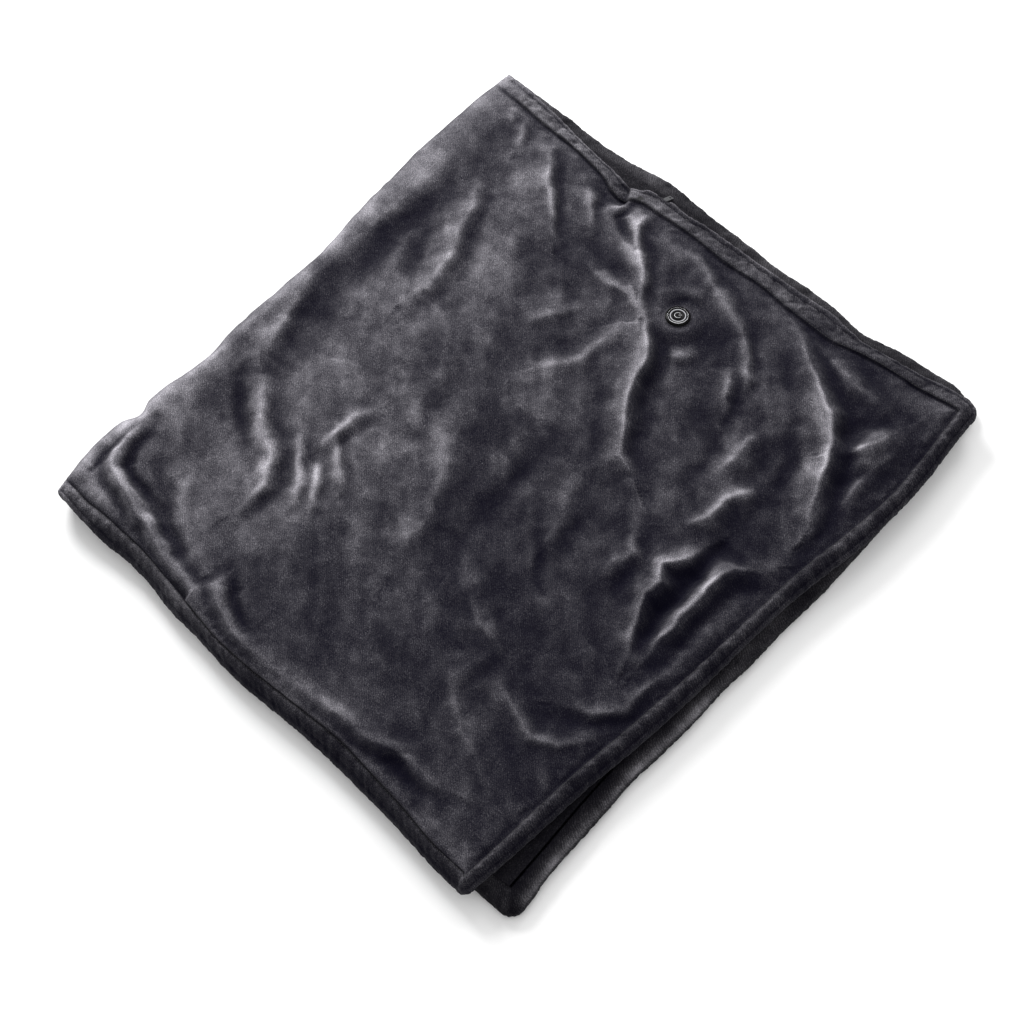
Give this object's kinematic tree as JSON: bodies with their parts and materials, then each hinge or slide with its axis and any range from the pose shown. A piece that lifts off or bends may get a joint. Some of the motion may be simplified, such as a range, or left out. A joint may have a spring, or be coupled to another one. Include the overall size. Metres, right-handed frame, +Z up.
{
  "type": "heated infrared throw blanket",
  "caption": "Padded plush heated blanket folded in half, opening about its fold, with a push-button controller and a zipped battery pocket.",
  "frame": {"origin": "centre of the box round the folded blanket, on the surface it lies on", "axes": "+X from the fold to the open edge, +Y along the fold towards the zipped edge, +Z up"},
  "size_m": [0.7382, 0.8431, 0.0497],
  "materials": {
    "plush_cover": "matte",
    "plush_lining": "matte",
    "wadding": "matte",
    "heater_felt": "matte",
    "carbon_tape": "satin",
    "lead_cover": "matte",
    "matte_shell": "matte",
    "battery_shell": "matte",
    "bezel_gloss": "gloss",
    "button_gloss": "gloss",
    "light_guide": "satin",
    "led_body": "satin",
    "circuit_board": "satin",
    "bright_metal": "satin",
    "cell_foil": "satin",
    "pocket_cloth": "matte",
    "zip_tape": "matte",
    "zip_coil": "satin",
    "dark_metal": "satin"
  },
  "bodies": {
    "lower_half": {"lower_outer_panel": "plush_cover", "lower_wadding": "wadding", "lower_heater_felt": "heater_felt", "lower_heating_tape": "carbon_tape", "lower_lining": "plush_lining", "lower_hem": "plush_cover", "lower_thermal_cutout": "matte_shell", "lower_splices": "bright_metal", "lower_return_lead": "lead_cover", "fold_outer_strip": "plush_cover", "fold_wadding_strip": "wadding", "fold_lining_strip": "plush_lining", "fold_leads": "lead_cover"},
    "upper_half": {"upper_outer_panel": "plush_cover", "upper_wadding": "wadding", "upper_heater_felt": "heater_felt", "upper_heating_tape": "carbon_tape", "upper_lining": "plush_lining", "upper_hem": "plush_cover", "upper_thermal_cutout": "matte_shell", "upper_splices": "bright_metal", "upper_return_lead": "lead_cover", "heater_lead": "lead_cover", "temperature_sensor": "bright_metal", "controller_patch": "plush_lining", "controller_bezel": "bezel_gloss", "controller_clamp_ring": "matte_shell", "controller_base": "matte_shell", "controller_board": "circuit_board", "tact_switch": "bright_metal", "status_leds": "led_body", "light_ring": "light_guide", "controller_screws": "bright_metal", "controller_lead": "lead_cover", "battery_pocket": "pocket_cloth", "battery_case_base": "battery_shell", "battery_case_lid": "battery_shell", "battery_cells": "cell_foil", "battery_board": "circuit_board", "battery_socket": "bright_metal", "battery_plug": "matte_shell", "battery_screws": "bright_metal", "zip_tape_upper": "zip_tape", "zip_tape_lower": "zip_tape", "zip_coil_upper": "zip_coil", "zip_coil_lower": "zip_coil", "zip_end_stops": "bright_metal"},
    "power_button": {"power_button": "button_gloss"},
    "zip_slider": {"zip_slider": "dark_metal"},
    "zip_pull": {"zip_pull": "dark_metal"}
  },
  "joints": [
    {"name": "blanket_fold", "type": "hinge", "parent": "lower_half", "child": "upper_half", "pos_m": [-0.346, 0, 0.025], "axis": [0, -1, 0], "range_deg": [0, 180], "deforming": ["fold_outer_strip", "fold_wadding_strip", "fold_lining_strip", "fold_leads"]},
    {"name": "button_press", "type": "slide", "parent": "upper_half", "child": "power_button", "axis": [0.1106, -0.1106, -0.9877], "range_m": [0, 0.0008], "stiffness_N_per_m": 1200, "springref_m": -0.0008},
    {"name": "zip_slide", "type": "slide", "parent": "upper_half", "child": "zip_slider", "axis": [1, 0, 0], "range_m": [0, 0.29]},
    {"name": "zip_pull_swing", "type": "hinge", "parent": "zip_slider", "child": "zip_pull", "pos_m": [-0.121, 0.3699, 0.0355], "axis": [1, 0, 0], "range_deg": [0, 118]}
  ]
}
